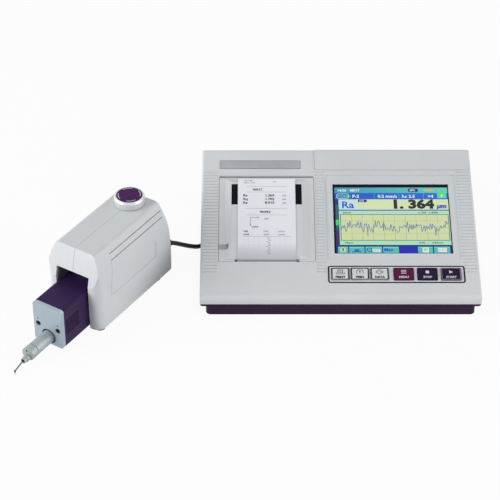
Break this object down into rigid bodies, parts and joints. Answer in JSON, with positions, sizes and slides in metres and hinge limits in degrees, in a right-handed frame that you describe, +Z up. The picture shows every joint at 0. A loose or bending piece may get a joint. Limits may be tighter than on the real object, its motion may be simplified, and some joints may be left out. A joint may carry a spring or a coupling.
{
  "type": "surface roughness tester",
  "caption": "Desk instrument with a sloping screen, keys and paper printer, corded to a height unit whose drive carries a stylus detector.",
  "frame": {"origin": "centre of the whole set's footprint, without the cord, on the table", "axes": "+X to the display unit's right, +Y to its rear, +Z up"},
  "size_m": [0.4478, 0.3602, 0.0955],
  "materials": {
    "case_grey": "fine moulded texture",
    "light_key": "smooth satin",
    "maroon_key": "smooth satin",
    "purple_plastic": "satin",
    "black_rubber": "matt",
    "steel": "ground",
    "aluminium": "fine satin",
    "dark_plastic": "matt",
    "screen_glass": "glossy over a lit screen",
    "smoked_window": "glossy smoked",
    "tab_grey": "matt",
    "circuit_board": "lacquered",
    "paper": "smooth thermal paper",
    "stylus_tip": "polished",
    "black_cord": "satin"
  },
  "bodies": {
    "base": {"top_case": "case_grey", "battery_cover": "case_grey", "housing_left": "case_grey", "housing_right": "case_grey", "key_panel": "case_grey", "bottom_case": "purple_plastic", "rubber_feet": "black_rubber", "housing_feet": "black_rubber", "case_screws": "steel", "hinge_pin": "steel", "feed_motor": "steel", "support_plate": "steel", "guide_posts": "steel", "drive_socket": "steel", "nameplate": "aluminium", "tear_bar": "aluminium", "data_ports": "aluminium", "battery_pack": "dark_plastic", "lcd_panel": "dark_plastic", "printer_frame": "dark_plastic", "rear_panel": "dark_plastic", "power_inlet": "dark_plastic", "touch_glass": "screen_glass", "main_board": "circuit_board", "key_board": "circuit_board", "paper_roll": "paper", "cord_gland": "black_cord", "drive_cord": "black_cord", "cord_coil": "black_cord", "cord_plug": "black_cord"},
    "cover": {"printer_cover": "case_grey", "printer_window": "smoked_window", "print_head": "steel", "paper_strip": "paper"},
    "tab": {"release_tab": "tab_grey"},
    "platen": {"platen_roller": "black_rubber"},
    "knob": {"height_knob": "case_grey", "knob_cap": "purple_plastic", "height_screw": "steel"},
    "carriage": {"lift_carriage": "aluminium", "tilt_pin": "steel"},
    "drive": {"tilt_saddle": "aluminium", "tilt_screw": "steel", "drive_case": "purple_plastic", "front_plate": "aluminium", "plate_screws": "steel", "guide_rods": "steel", "traverse_motor": "dark_plastic"},
    "feed_screw": {"traverse_screw": "steel"},
    "detector": {"traverse_carriage": "aluminium", "detector_tube": "aluminium", "stylus_pin": "steel"},
    "stylus": {"stylus_arm": "aluminium", "stylus_tip": "stylus_tip"},
    "print_button": {"print_key": "light_key"},
    "feed_button": {"feed_key": "light_key"},
    "data_button": {"data_key": "light_key"},
    "menu_button": {"menu_key": "maroon_key"},
    "stop_button": {"stop_key": "purple_plastic"},
    "start_button": {"start_key": "purple_plastic"}
  },
  "joints": [
    {"name": "print_press", "type": "slide", "parent": "base", "child": "print_button", "axis": [0, 0.2622, -0.965], "range_m": [0, 0.0006], "stiffness_N_per_m": 1200, "springref_m": -0.0004},
    {"name": "feed_press", "type": "slide", "parent": "base", "child": "feed_button", "axis": [0, 0.2622, -0.965], "range_m": [0, 0.0006], "stiffness_N_per_m": 1200, "springref_m": -0.0004},
    {"name": "data_press", "type": "slide", "parent": "base", "child": "data_button", "axis": [0, 0.2622, -0.965], "range_m": [0, 0.0006], "stiffness_N_per_m": 1200, "springref_m": -0.0004},
    {"name": "menu_press", "type": "slide", "parent": "base", "child": "menu_button", "axis": [0, 0.2622, -0.965], "range_m": [0, 0.0006], "stiffness_N_per_m": 1200, "springref_m": -0.0004},
    {"name": "stop_press", "type": "slide", "parent": "base", "child": "stop_button", "axis": [0, 0.2622, -0.965], "range_m": [0, 0.0006], "stiffness_N_per_m": 1200, "springref_m": -0.0004},
    {"name": "start_press", "type": "slide", "parent": "base", "child": "start_button", "axis": [0, 0.2622, -0.965], "range_m": [0, 0.0006], "stiffness_N_per_m": 1200, "springref_m": -0.0004},
    {"name": "cover_open", "type": "hinge", "parent": "base", "child": "cover", "pos_m": [0.01483, 0.09616, 0.05893], "axis": [-1, 0, 0], "range_deg": [0, 70]},
    {"name": "tab_slide", "type": "slide", "parent": "cover", "child": "tab", "axis": [1, 0, 0], "range_m": [0, 0.0015], "stiffness_N_per_m": 400, "springref_m": -0.0005},
    {"name": "platen_turn", "type": "hinge", "parent": "base", "child": "platen", "pos_m": [0.01483, 0.00296, 0.02894], "axis": [1, 0, 0], "continuous": true},
    {"name": "height_slide", "type": "slide", "parent": "base", "child": "carriage", "axis": [0, 0, 1], "range_m": [0, 0.01]},
    {"name": "knob_turn", "type": "hinge", "parent": "base", "child": "knob", "pos_m": [-0.12006, 0.02132, 0.086], "axis": [0, 0, 1], "range_deg": [0, 900]},
    {"name": "tilt", "type": "hinge", "parent": "carriage", "child": "drive", "pos_m": [-0.12577, 0.0125, 0.055], "axis": [-0.8396, 0.5432, 0], "range_deg": [0, 1.5]},
    {"name": "traverse", "type": "slide", "parent": "drive", "child": "detector", "axis": [0.5432, 0.8396, 0], "range_m": [0, 0.025]},
    {"name": "feed_turn", "type": "hinge", "parent": "drive", "child": "feed_screw", "pos_m": [-0.17275, -0.06013, 0.0332], "axis": [0.5432, 0.8396, 0], "range_deg": [0, 1800]},
    {"name": "stylus_lift", "type": "hinge", "parent": "detector", "child": "stylus", "pos_m": [-0.2086, -0.11554, 0.0081], "axis": [-0.8396, 0.5432, 0], "range_deg": [0, 1.5]}
  ],
  "couplings": [
    {"joint": "knob_turn", "follows": "height_slide", "rad_per_m": 1570.8},
    {"joint": "feed_turn", "follows": "traverse", "rad_per_m": 1256.6}
  ]
}
